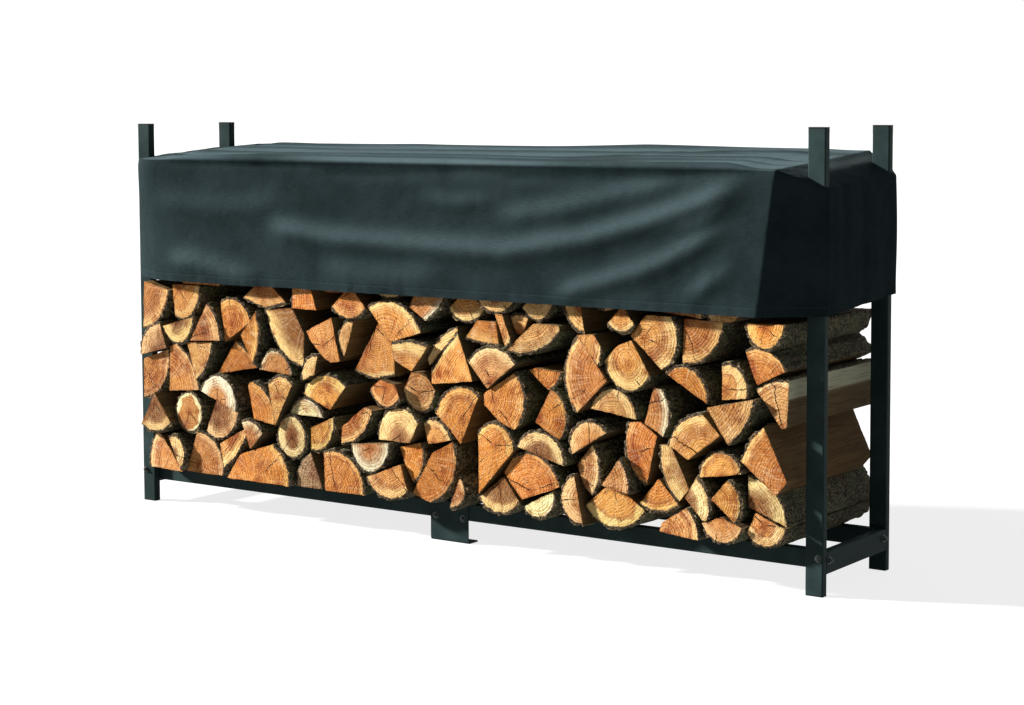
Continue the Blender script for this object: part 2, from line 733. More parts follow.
@dataclass(frozen=True)
class LogShape:
    """One log as the frame holds it: the outline of its end in x and z, and where its ends are along y."""

    outline: Array
    front: float
    back: float

    ROUND_TURN = math.radians(34)
    LIKE_LENGTHS = 0.6
    PITH_REACH = 0.4

    def bark_sides(self) -> Array:
        """Finds which sides of the outline are bark: the longest run of corners that turn gently.

        Returns:
            True for each bark side, counted from its first corner.
        """
        sides = np.roll(self.outline, -1, 0) - self.outline
        lengths = np.linalg.norm(sides, axis=1)
        before = np.roll(sides, 1, 0)
        turn = np.arctan2(before[:, 0] * sides[:, 1] - before[:, 1] * sides[:, 0], (before * sides).sum(1))
        alike = np.abs(np.log(lengths / np.roll(lengths, 1))) < self.LIKE_LENGTHS
        gentle = (turn < self.ROUND_TURN) & alike
        count = len(gentle)
        if gentle.all():
            return np.ones(count, bool)
        first = int(np.argmin(gentle))
        cuts = np.flatnonzero(~np.roll(gentle, -first)).tolist() + [count]
        size, start = max((end - start, start) for start, end in zip(cuts, cuts[1:]))
        bark = np.zeros(count, bool)
        if size > 1:
            bark[(first + start + np.arange(size)) % count] = True
        return bark

    def pith(self) -> Array:
        """Centre of the rings: the centre of the circle that fits the bark corners best.

        Returns:
            x and z, no further than a set reach from the middle of the outline.
        """
        bark = self.bark_sides()
        middle = self.outline.mean(0)
        if bark.all() or not bark.any():
            return middle
        corners = self.outline[bark | np.roll(bark, 1)] - middle
        table = np.column_stack([2 * corners, np.ones(len(corners))])
        centre = np.linalg.lstsq(table, (corners**2).sum(1), rcond=None)[0][:2]
        return middle + centre * min(1.0, self.PITH_REACH / max(np.linalg.norm(centre), 1e-6))

    def rim(self, count: int, softness: float) -> tuple[Array, Array]:
        """The outline as evenly spaced points, its corners worn round.

        The points are averaged along the outline with a bell curve.

        Args:
            count: number of points.
            softness: width of the bell curve in metres.

        Returns:
            Points, and how much each is bark.
        """
        finer = 5
        dense = count * finer
        sides = np.roll(self.outline, -1, 0) - self.outline
        lengths = np.linalg.norm(sides, axis=1)
        ends = np.cumsum(lengths)
        along = (np.arange(dense) + 0.5) * ends[-1] / dense
        side = np.minimum(np.searchsorted(ends, along), len(sides) - 1)
        share = 1 - (ends[side] - along) / lengths[side]
        points = self.outline[side] + sides[side] * share[:, None]
        bark = self.bark_sides()[side].astype(float)
        away = np.minimum(np.arange(dense), dense - np.arange(dense)) * ends[-1] / dense
        bell = np.exp(-0.5 * (away / softness) ** 2)
        table = np.fft.fft(bell / bell.sum())[:, None]
        smooth = np.fft.ifft(np.fft.fft(np.column_stack([points, bark]), axis=0) * table, axis=0).real
        return smooth[::finer, :2], np.clip(smooth[::finer, 2], 0, 1)


@dataclass
class LogPile:
    """The firewood: every log of the frame as a barked, split and sawn piece of wood."""

    layers: tuple[str, ...]
    around: int = 72
    softness: float = 0.0035
    bark_depth: float = 0.008
    bark_swell: float = 0.65
    split_depth: float = 0.004
    torn_depth: float = 0.004
    saw_depth: float = 0.0012
    lean: float = 0.06
    seed: int = 31
    rings: tuple[float, ...] = (0.2, 0.4, 0.58, 0.72, 0.83, 0.91, 0.96, 1.0)
    stations: tuple[float, ...] = (
        0.006, 0.016, 0.032, 0.058, 0.1, 0.16, 0.25, 0.36, 0.48, 0.6, 0.72, 0.83, 0.91, 0.96, 0.985,
    )
    back_rings: tuple[float, ...] = (1.0, 0.94, 0.72, 0.4)
    sharp_angle: float = 46
    lightness: tuple[float, float] = (1.16, 1.41)
    greenness: tuple[float, float] = (0.95, 1.06)
    blueness: tuple[float, float] = (0.84, 1.1)
    ring_widths: tuple[float, float] = (0.005, 0.010)
    sap_shares: tuple[float, float] = (0.5, 1.4)
    reach: float = 0.055
    pale_side: tuple[float, float] = (1.09, 0.52)
    pale_above: float = 0.516
    pale_border: float = 0.004
    placed: tuple[tuple[Wood, tuple[tuple[float, float], ...]], ...] = (
        (Wood.HONEY, (
            (-1.12, 0.43), (-0.60, 0.61), (-0.24, 0.56), (-0.14, 0.63), (-0.41, 0.41), (0.06, 0.56),
            (0.74, 0.65), (-0.15, 0.19), (0.60, 0.18), (0.55, 0.39), (0.70, 0.47),
        )),
        (Wood.ORANGE, (
            (-0.76, 0.64), (-0.69, 0.58), (-0.60, 0.37), (-0.76, 0.50), (-0.18, 0.445), (0.19, 0.64),
            (1.07, 0.62), (0.08, 0.40), (0.25, 0.44), (0.35, 0.25), (0.0, 0.23), (0.22, 0.29),
            (-0.34, 0.18), (-0.65, 0.17),
        )),
        (Wood.RED_HEART, ((-0.88, 0.59), (0.51, 0.56), (0.88, 0.66), (1.08, 0.38), (-0.27, 0.33))),
        (Wood.TAN, (
            (-0.34, 0.59), (-0.91, 0.50), (-0.07, 0.45), (0.36, 0.63), (0.21, 0.55), (1.09, 0.52),
            (1.0, 0.48), (0.84, 0.15), (0.49, 0.19),
        )),
        (Wood.DARK_HEART, (
            (-1.0, 0.60), (-1.11, 0.54), (-0.47, 0.50), (-0.82, 0.31), (0.38, 0.31), (-0.54, 0.283),
            (-0.13, 0.36),
        )),
        (Wood.WHITE_RIM, ((-0.69, 0.26), (-0.83, 0.40), (-0.605, 0.51), (-0.968, 0.317), (-0.23, 0.25))),
        (Wood.PALE, ((-0.484, 0.371), (0.361, 0.17))),
        (Wood.GREY, ((-0.475, 0.18),)),
    )

    def build(self, material: bpy.types.Material, slot: str) -> list[bpy.types.Object]:
        """Makes one piece for each layer of the frame.

        Args:
            material: the wood's finish.
            slot: the record's material slot.

        Returns:
            The pieces.
        """
        chance = np.random.default_rng(self.seed)
        pieces = []
        for number, layer in enumerate(self.layers, 1):
            logs = [self.log(shape, chance) for shape in self.read(layer)]
            piece = Surface.joined(logs).build(f"firewood_{number:02d}", material, slot, self.sharp_angle)
            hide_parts(layer)
            pieces.append(piece)
        return pieces

    @staticmethod
    def read(layer: str) -> list[LogShape]:
        """Reads a layer's logs from the frame: corners that share a face belong to one log.

        Args:
            layer: name of the layer's node.

        Returns:
            The logs, each with its corners in order around it.
        """
        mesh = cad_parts[layer].data
        corners = np.empty(len(mesh.loops), np.int32)
        mesh.loops.foreach_get("vertex_index", corners)
        places, weld = np.unique(np.round(solid_points(layer), 5), axis=0, return_inverse=True)
        faces = weld.ravel()[corners].reshape(-1, 3)
        label, last = np.arange(len(places)), None
        while last is None or (label != last).any():
            last = label.copy()
            np.minimum.at(label, faces.ravel(), np.repeat(label[faces].min(1), 3))
            label = label[label]
        logs = []
        for part in np.unique(label):
            own = places[label == part]
            front, back = own[:, 1].min(), own[:, 1].max()
            end = own[own[:, 1] < (front + back) / 2][:, [0, 2]]
            arm = end - end.mean(0)
            logs.append(LogShape(end[np.argsort(np.arctan2(arm[:, 1], arm[:, 0]))], front, back))
        return logs

    def wood(self, middle: Array, chance: np.random.Generator) -> Timber:
        """Picks a kind of wood: the one set for that place, or else by chance.

        Args:
            middle: x and z of the log's middle.
            chance: random numbers.

        Returns:
            The wood's colours.
        """
        draw = chance.random()
        near = [(math.dist(place, middle), kind) for kind, places in self.placed for place in places]
        away, kind = min(near, key=lambda pair: pair[0])
        if away < self.reach:
            return kind.value
        kinds = list(Wood)
        edges = np.cumsum([k.value.share for k in kinds])
        return kinds[int(np.searchsorted(edges, draw * edges[-1]))].value

    def log(self, shape: LogShape, chance: np.random.Generator) -> Surface:
        """One log as a closed polar grid: out over the front end, along the sides and in over the back end.

        Each row is the rim drawn towards the middle and pushed in by the bark's or the split's relief, which
        is noise stretched along the log. Both ends lean a little and the saw leaves them rough.

        Args:
            shape: the log.
            chance: random numbers.

        Returns:
            The log's surface with the values that its finish reads.
        """
        noise = Lattice(int(chance.integers(1 << 30)))
        rim, bark = shape.rim(self.around, self.softness)
        middle = rim.mean(0)
        along = np.roll(rim, -1, 0) - np.roll(rim, 1, 0)
        out = unit(np.column_stack([along[:, 1], -along[:, 0]]))
        ends = np.zeros(len(self.rings)), np.ones(len(self.back_rings))
        share = np.concatenate([self.rings, np.ones(len(self.stations)), self.back_rings])[:, None]
        depth = np.concatenate([ends[0], self.stations, ends[1]])[:, None]
        flat = middle + share[..., None] * (rim - middle)
        x, z, y = flat[..., 0], flat[..., 1], depth * (shape.back - shape.front)
        furrow = self.bark_swell - ease(noise.rough(x * 110, z * 110, y * 22), 0.3, 0.8)
        fibre = 0.6 * noise.at(x * 38, z * 38, y * 5) + 0.4 * noise.at(x * 210, z * 210, y * 9)
        relief = bark * self.bark_depth * furrow - (1 - bark) * self.split_depth * fibre
        flat = flat + (relief * share**6)[..., None] * out
        x, z = flat[..., 0], flat[..., 1]
        lean = chance.uniform(-self.lean, self.lean, (2, 2))
        rises = [slope - slope.min() for slope in ((flat - middle) @ way for way in lean)]
        front = shape.front + rises[0] + self.saw_depth * noise.at(x * 160, z * 160)
        back = shape.back - rises[1]
        torn = bark * share**14 * self.torn_depth * noise.at(x * 230, z * 230)
        y = front + (back - front) * depth + np.where(depth < 0.5, torn, -torn)
        tips = [[middle[0], row.mean(), middle[1]] for row in (y[0], y[-1])]
        points = np.concatenate([np.stack([x, y, z], -1).reshape(-1, 3), tips])
        values = self.values(shape, points, bark, rim, chance)
        return self.skinned(points, values)

    def values(self, shape: LogShape, points: Array, bark: Array, rim: Array,
               chance: np.random.Generator) -> dict[str, Array]:
        """What a log's finish reads at each point.

        Args:
            shape: the log.
            points: its rows of points and then the middles of its two ends.
            bark: how much each point of the rim is bark.
            rim: the rim's points.
            chance: random numbers.

        Returns:
            The values by name.
        """
        def nearest(line: Array) -> Array:
            """How far each point is from the nearest of a line's points, or 1 m where it has none."""
            if not len(line):
                return np.ones(count)
            return np.sqrt(((points[:, None, [0, 2]] - line[None]) ** 2).sum(-1).min(1))

        count = len(points)
        middle, pith = shape.outline.mean(0), shape.pith()
        wood, pale = self.wood(middle, chance), math.dist(self.pale_side, middle) < self.reach
        light = chance.uniform(*self.lightness)
        warm = np.array([1.0, chance.uniform(*self.greenness), chance.uniform(*self.blueness)])
        seed, ring_width = chance.random(), chance.uniform(*self.ring_widths)
        trait = (seed, ring_width, wood.sap_width * chance.uniform(*self.sap_shares))
        heart, sap = (np.clip(np.array(colour) * light * warm, 0, 1) for colour in (wood.heart, wood.sap))
        low, high = self.pale_above - self.pale_border, self.pale_above + self.pale_border
        return {
            "grain": points - [pith[0], shape.front, pith[1]],
            "trait": np.tile(trait, (count, 1)),
            "heart": np.tile(heart, (count, 1)),
            "sap": np.tile(sap, (count, 1)),
            "weather": float(pale) * ease(points[:, 2], low, high),
            "gap": nearest(rim[bark > 0.5]),
            "edge": nearest(rim),
            "barked": np.concatenate([np.tile(bark, count // self.around), [0.0, 0.0]]),
        }

    def skinned(self, points: Array, values: dict[str, Array]) -> Surface:
        """Joins a log's points into faces and marks those of its ends.

        Args:
            points: the log's rows of points and then the middles of its two ends.
            values: what the finish reads at each point.

        Returns:
            The log's surface.
        """
        n, rows = self.around, len(points) // self.around
        quads = Surface.ring_grid(rows, n)[:, ::-1]
        turn, beside = np.arange(n), (np.arange(n) + 1) % n
        tip, last = rows * n, (rows - 1) * n
        front = np.column_stack([turn, beside, np.full(n, tip)])
        back = np.column_stack([last + beside, last + turn, np.full(n, tip + 1)])
        row = np.repeat(np.arange(rows - 1), n)
        end = (row < len(self.rings) - 1) | (row >= rows - len(self.back_rings))
        corners = np.concatenate([quads.ravel(), front.ravel(), back.ravel()])
        sizes = np.concatenate([np.full(len(quads), 4), np.full(2 * n, 3)])
        return Surface(points, corners, sizes, values, {"end": np.concatenate([end, np.ones(2 * n)])})


@dataclass(frozen=True)
class Fold:
    """A soft fold in the cover's front: a line of x and z, the fold's width and how far it stands out."""

    path: tuple[tuple[float, float], ...]
    width: float
    height: float
    taper: float = 0.13

    def rise(self, x: Array, z: Array, breadth: float) -> Array:
        """Height of the fold: a bell curve of the distance from its line, which fades towards both its ends.

        Args:
            x: places along the cover.
            z: heights of the places.
            breadth: how many times its own width the fold has.

        Returns:
            How far the fold stands out at each.
        """
        line = np.array(self.path)
        lengths = np.linalg.norm(np.diff(line, axis=0), axis=1)
        starts = np.concatenate([[0], np.cumsum(lengths)])
        nearest, along = np.full(np.shape(x), np.inf), np.zeros(np.shape(x))
        for a, b, start, length in zip(line, line[1:], starts, lengths):
            arm = (b - a) / length
            t = np.clip((x - a[0]) * arm[0] + (z - a[1]) * arm[1], 0, length)
            away = np.hypot(x - a[0] - t * arm[0], z - a[1] - t * arm[1])
            along = np.where(away < nearest, start + t, along)
            nearest = np.minimum(nearest, away)
        fade = ease(along, 0, self.taper) * ease(along, starts[-1], starts[-1] - self.taper)
        return self.height * fade * np.exp(-0.5 * (nearest / (self.width * breadth)) ** 2)


@dataclass
class Cover:
    """The fitted cloth cover: one continuous sheet around and over the top of the stack."""

    panels: tuple[str, ...] = ("cover_top", "cover_front", "cover_back", "cover_left_end", "cover_right_end")
    step: float = 0.009
    corner_steps: tuple[float, ...] = (0.002, 0.005)
    bend: float = 0.006
    crease: float = 0.004
    slack_rounds: int = 60
    turn_up: float = 0.026
    hem_row: int = 4
    wall_rows: int = 40
    bend_rows: int = 7
    slope_rows: int = 10
    crease_rows: int = 5
    top_rows: int = 24
    weld: float = 0.0002
    sharp_angle: float = 60
    spine_inset: float = 0.15
    hem_thickness: float = 0.0028
    slit_play: float = 0.0015
    depth: float = 1.1
    breadth: float = 1.15
    crest_above: float = 0.012
    crest_height: float = 0.018
    slack_depths: tuple[float, float] = (0.007, 0.0025)
    pucker_depth: float = 0.0045
    pucker_fade: float = 0.035
    ridge_depths: tuple[float, float, float] = (0.013, 0.004, 0.006)
    ridge_fall: float = 0.010
    swell_depth: float = 0.004
    back_folds: int = 5
    seed: int = 7
    front_folds: tuple[Fold, ...] = (
        Fold(((-0.628, 0.916), (-0.361, 0.885), (-0.099, 0.877), (0.278, 0.868), (0.556, 0.914),
              (0.739, 0.963), (0.894, 1.013), (1.056, 1.079)), 0.020, 0.017),
        Fold(((0.40, 0.745), (0.494, 0.767), (0.708, 0.828), (0.798, 0.862), (0.999, 0.966)), 0.018, 0.013),
        Fold(((0.810, 0.745), (0.895, 0.787), (1.02, 0.871)), 0.017, 0.010),
        Fold(((0.22, 0.956), (0.455, 0.99), (0.648, 1.033), (0.864, 1.072)), 0.020, 0.011),
        Fold(((-1.056, 0.798), (-0.885, 0.793), (-0.70, 0.755), (-0.599, 0.74)), 0.022, 0.014),
        Fold(((0.758, 0.932), (0.895, 0.963), (1.028, 1.031)), 0.012, 0.006),
        Fold(((-1.10, 0.985), (-0.80, 0.962), (-0.5, 0.985)), 0.022, 0.006),
        Fold(((-0.45, 1.077), (-0.2, 1.074), (0.05, 1.085), (0.18, 1.09), (0.3, 1.075), (0.5, 1.08),
              (0.75, 1.081), (0.98, 1.102)), 0.009, -0.007),
        Fold(((-0.05, 1.02), (0.1, 1.0), (0.28, 1.012)), 0.014, 0.006),
        Fold(((-0.42, 0.80), (-0.2, 0.775), (0.1, 0.79)), 0.026, 0.008),
    )

    def __post_init__(self) -> None:
        """Reads the cover's corners from its panels in the frame."""
        near = 1e-4
        front = solid_points("cover_front")
        outer = front[front[:, 1] < front[:, 1].min() + near]
        self.front_y, self.hem_z, self.edge_z = -front[:, 1].min(), outer[:, 2].min(), outer[:, 2].max()
        self.fold_hem_x = outer[outer[:, 2] < self.hem_z + near, 0].max()
        self.fold_top_x = outer[outer[:, 2] > self.edge_z - near, 0].max()
        self.back_rise = solid_points("cover_top")[:, 2].max() - self.edge_z
        ends = [solid_points(name) for name in ("cover_right_end", "cover_left_end")]
        self.end_x = ends[0][:, 0].max()
        ends = [end[np.abs(end[:, 0]) > self.end_x - near] for end in ends]
        self.end_y = ends[0][:, 1].max()
        self.slope_z = [end[:, 2].max() - self.lift(self.end_y) for end in ends]

    def lift(self, y: Union[float, Array]) -> Union[float, Array]:
        """How far the cover has risen from its front at y, because its back lies higher."""
        return self.back_rise * (y + self.front_y) / (2 * self.front_y)

    @staticmethod
    def relaxed(ring: Array, rounds: int) -> Array:
        """A ring of points, each averaged with its neighbours so many times over."""
        for _ in range(rounds):
            ring = (np.roll(ring, 1, 0) + 2 * ring + np.roll(ring, -1, 0)) / 4
        return ring

    def outline(self) -> list[Array]:
        """The hem and the top edge, seen from above, as rings of points that belong together.

        Each ring runs along the front, the slanting corner, the end, and so on round. Its corners are eased
        by averaging each point with its neighbours, once at the right end and often at the slack left end.

        Returns:
            Points of the hem and of the top edge.
        """
        def ring(fold: float, fold_z: float, ends: Sequence[float]) -> Array:
            """Corner points of one ring, its right half and then its left."""
            halves = []
            for sign, end_z in zip((1, -1), ends):
                half = np.array([(fold, -self.front_y, fold_z), (self.end_x, -self.end_y, end_z),
                                 (self.end_x, self.end_y, end_z), (fold, self.front_y, fold_z)])
                half[:, :2] *= sign
                halves.append(half)
            points = np.concatenate(halves)
            points[:, 2] += self.lift(points[:, 1])
            return points

        hem = ring(self.fold_hem_x, self.hem_z, (self.hem_z, self.hem_z))
        top = ring(self.fold_top_x, self.edge_z, self.slope_z)
        spans = np.linalg.norm(np.roll(top, -1, 0) - top, axis=1)
        close = np.array(self.corner_steps)
        shares = [np.sort(np.concatenate([np.arange(n) / n, close / span, 1 - close / span]))
                  for n, span in zip(np.maximum(2, spans / self.step).astype(int), spans)]
        side = np.repeat(np.arange(len(top)), [len(s) for s in shares])
        share = np.concatenate(shares)[:, None]
        rings = [r[side] + (np.roll(r, -1, 0) - r)[side] * share for r in (hem, top)]
        crisp = [self.relaxed(r, 1) for r in rings]
        return [np.where(c[:, :1] < 0, self.relaxed(c, self.slack_rounds), c) for c in crisp]

    @staticmethod
    def between(start: Array, stop: Array, count: int) -> list[Array]:
        """Even rows along straights, from the start up to but without the stop."""
        return [start + (stop - start) * step / count for step in range(count)]

    @staticmethod
    def bent(before: Array, corner: Array, after: Array, size: float, count: int) -> list[Array]:
        """Rows that round a corner: the quadratic curve that leaves one straight and meets the other.

        Args:
            before: row on the near side.
            corner: row where the two straights meet.
            after: row on the far side.
            size: metres from the corner to where the curve starts and ends, less where a straight is short.
            count: number of rows.

        Returns:
            The rows.
        """
        def near(other: Array) -> Array:
            """Points that lie that far from the corner."""
            way = np.linalg.norm(other - corner, axis=1)[:, None]
            return corner + (other - corner) * np.minimum(0.45, size / np.maximum(way, 1e-6))

        start, stop, steps = near(before), near(after), np.linspace(0, 1, count)
        return [(1 - t) ** 2 * start + 2 * t * (1 - t) * corner + t * t * stop for t in steps]

    def sheet(self) -> tuple[Array, Array]:
        """The cover without its folds: up from the turned hem, round the top edge and in to its middle.

        The walls are straight from the hem to the top edge. At the ends the cloth goes on up a slope to the
        line where it folds over onto the top, a plane that rises to the back. Both corners are rounded.

        Returns:
            Rows of points, and for each point its height up the cloth from the hem.
        """
        hem, top = self.outline()
        x, y, flat = top[:, 0], top[:, 1], 0 * top[:, 0]
        inner = self.fold_top_x - self.spine_inset
        spine = np.column_stack([np.clip(x, -inner, inner), flat, flat + self.edge_z + self.lift(0)])
        fold_x = np.clip(x, -self.fold_top_x, self.fold_top_x)
        line = np.column_stack([fold_x, y, self.edge_z + self.lift(y)])
        at_end = np.abs(x) > self.fold_top_x
        line = np.where(at_end[:, None], line, top + unit(spine - top) * 3 * self.bend)
        plan = np.roll(hem, -1, 0) - np.roll(hem, 1, 0)
        inside = unit(np.column_stack([plan[:, 1], -plan[:, 0], flat])) * self.hem_thickness
        rows = [hem - inside + UP * self.turn_up * t for t in (1.0, 0.5, 0.08)] + [hem - inside / 2]
        edge = self.bent(hem, top, line, self.bend, self.bend_rows)
        fold = self.bent(top, line, spine, self.crease, self.crease_rows)
        rows += self.between(hem, edge[0], self.wall_rows) + edge
        rows += self.between(edge[-1], fold[0], self.slope_rows)[1:] + fold
        rows += self.between(fold[-1], spine, self.top_rows)[1:] + [spine]
        grid = np.stack(rows)
        steps = np.linalg.norm(np.diff(grid, axis=0), axis=2)
        height = np.concatenate([np.zeros((1, grid.shape[1])), np.cumsum(steps, 0)])
        return grid, height - height[self.hem_row]

    def crests(self, x: Array, y: Array) -> Array:
        """Long wandering lines on the top: noise drawn out along the cover, folded to a crest at its middle.

        Args:
            x: places along the cover.
            y: places across it.

        Returns:
            1 on a crest, less beside it.
        """
        noise = Lattice(self.seed)
        drift = 0.03 * noise.at(x * 1.3, 5.0)
        return 1 - np.abs(2 * noise.at(x * 0.8, (y + drift) * 11) - 1)

    def folded(self, x: Array, z: Array, count: Optional[int] = None) -> Array:
        """How far the front's folds stand out at places, all of them or the first so many."""
        return sum(fold.rise(x, z, self.breadth) for fold in self.front_folds[:count])

    def relief(self, grid: Array, height: Array) -> Array:
        """How far the cloth stands out of its plain form.

        The front has its own folds; everywhere there is a broad slackness, puckers that fade above the hem,
        long ridges on the top, and a swelling and flutes in the ends between the uprights.

        Args:
            grid: rows of points.
            height: height of each point up the cloth.

        Returns:
            Metres outwards.
        """
        noise = Lattice(self.seed)
        x, y = grid[..., 0], grid[..., 1]
        z = grid[..., 2] - self.lift(y)
        front, back = (ease(s * y, self.front_y - 0.03, self.front_y - 0.008) for s in (-1, 1))
        wall = ease(z, self.edge_z - 0.001, self.edge_z - 0.03)
        fold = front * self.depth * self.folded(x, z)
        fold = fold + back * self.folded(-x * 0.93 - 0.05, z + 0.03, self.back_folds)
        broad, small = self.slack_depths
        slack = broad * noise.rough(x * 3.1, z * 4.7, y * 3) + small * noise.rough(x * 11, z * 14, y * 11)
        hem = np.exp(-np.clip(height, 0, None) / self.pucker_fade)
        pucker = self.pucker_depth * hem * noise.at(x * 38, y * 38)
        inner = ease(np.abs(x), self.fold_top_x - 0.03, self.fold_top_x - 0.15)
        level = ease(z, self.edge_z - 0.012, self.edge_z - 0.001) * inner
        sharp, fine, wide = self.ridge_depths
        ridge = sharp * self.crests(x, y) ** 3 + fine * noise.at(x * 2.3, y * 41)
        ridge = ridge + wide * noise.at(x * 1.7, y * 3)
        ridge = ridge - self.ridge_fall * (y + self.front_y) / (2 * self.front_y)
        end = ease(np.abs(x), self.end_x - 0.02, self.end_x - 0.004)
        climb = np.clip((z - self.hem_z) / (np.where(x > 0, *self.slope_z) - self.hem_z), 0, 1)
        swell = self.swell_depth * (np.sin(math.pi * climb) + noise.at(y * 26, z * 1.6))
        return (1 - end) * wall * (slack + fold) + pucker + level * ridge + end * swell

    def tones(self, plain: Array) -> dict[str, Array]:
        """Where the cloth lies level and takes dust, and where the crests of its folds are rubbed.

        Args:
            plain: rows of points of the cover without its folds.

        Returns:
            Numbers from 0 to 1 for each point, by name.
        """
        x, y, z = plain[..., 0], plain[..., 1], plain[..., 2] - self.lift(plain[..., 1])
        level = ease(z - self.edge_z, -0.005, -0.001) * (1 - 0.75 * ease(self.crests(x, y), 0.7, 0.96))
        crest = np.clip(self.folded(x, z - self.crest_above) / self.crest_height, 0, 1)
        return {"level": level.ravel(), "crest": (crest * ease(-y, 0, self.front_y)).ravel()}

    def flat_size(self) -> tuple[float, float]:
        """The cloth laid flat: from hem to hem across the top, and from hem to hem along it."""
        across = 2 * (self.edge_z - self.hem_z) + math.hypot(2 * self.front_y, self.back_rise)
        slope = self.end_x - self.fold_top_x
        ends = [math.hypot(slope, self.edge_z - z) + z - self.hem_z for z in self.slope_z]
        return across, 2 * self.fold_top_x + sum(ends)

    def build(self, material: bpy.types.Material, slot: str) -> bpy.types.Object:
        """Makes the cover and says how large its cloth is.

        Args:
            material: the cloth's finish.
            slot: the record's material slot.

        Returns:
            The cover.
        """
        plain, height = self.sheet()
        hem = self.hem_row
        across = np.roll(plain, -1, 1) - np.roll(plain, 1, 1)
        normal = unit(np.cross(across, np.gradient(plain, axis=0)))
        relief = self.relief(plain, height)
        relief[:hem] = relief[hem]
        normal[:hem] = normal[hem + 2]
        normal[-1] = UP
        grid = plain + normal * relief[..., None]
        along = np.concatenate([[0], np.cumsum(np.linalg.norm(np.diff(grid[hem], axis=0), axis=1))])
        uv = np.stack([np.broadcast_to(along, height.shape), height], -1).reshape(-1, 2)
        quads = Surface.ring_grid(*grid.shape[:2])
        sizes = np.full(len(quads), 4)
        surface = Surface(grid.reshape(-1, 3), quads.ravel(), sizes, self.tones(plain), uv=uv)
        piece = surface.build("cover", material, slot, self.sharp_angle)
        shape = bmesh.new()
        shape.from_mesh(piece.data)
        bmesh.ops.remove_doubles(shape, verts=shape.verts, dist=self.weld)
        for post in UPRIGHTS:
            self.slit(shape, post)
        shape.to_mesh(piece.data)
        shape.free()
        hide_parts(*self.panels)
        skins = sum(face.area for name in self.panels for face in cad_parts[name].data.polygons)
        self.flat_size()
        return piece

    def slit(self, shape: bmesh.types.BMesh, post: str) -> None:
        """Cuts a slit round an upright: the cloth is split along its four sides and what is inside goes.

        Args:
            shape: the cover's mesh.
            post: name of the upright.
        """
        low, high = (np.array(corner)[:2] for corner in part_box(post))
        low, high = low - self.slit_play, high + self.slit_play

        def within(margin: float) -> list[bmesh.types.BMFace]:
            """Faces whose middle is inside the slit or at most a margin outside it."""
            middles = [(face, face.calc_center_median()) for face in shape.faces]
            return [f for f, c in middles if all(low[k] - margin < c[k] < high[k] + margin for k in (0, 1))]

        for axis, at in ((0, low), (0, high), (1, low), (1, high)):
            faces = within(4 * self.step)
            lines = {line for face in faces for line in face.edges}
            points = {point for face in faces for point in face.verts}
            normal = tuple(float(k == axis) for k in range(3))
            bmesh.ops.bisect_plane(shape, geom=[*faces, *lines, *points], dist=1e-6,
                                   plane_co=tuple(n * at[axis] for n in normal), plane_no=normal)
        bmesh.ops.delete(shape, geom=within(0.0), context="FACES")


class Side(Enum):
    """Which way a bolt's head faces."""

    FRONT = (0, -1, 0)
    BACK = (0, 1, 0)
    LEFT = (-1, 0, 0)
    RIGHT = (1, 0, 0)


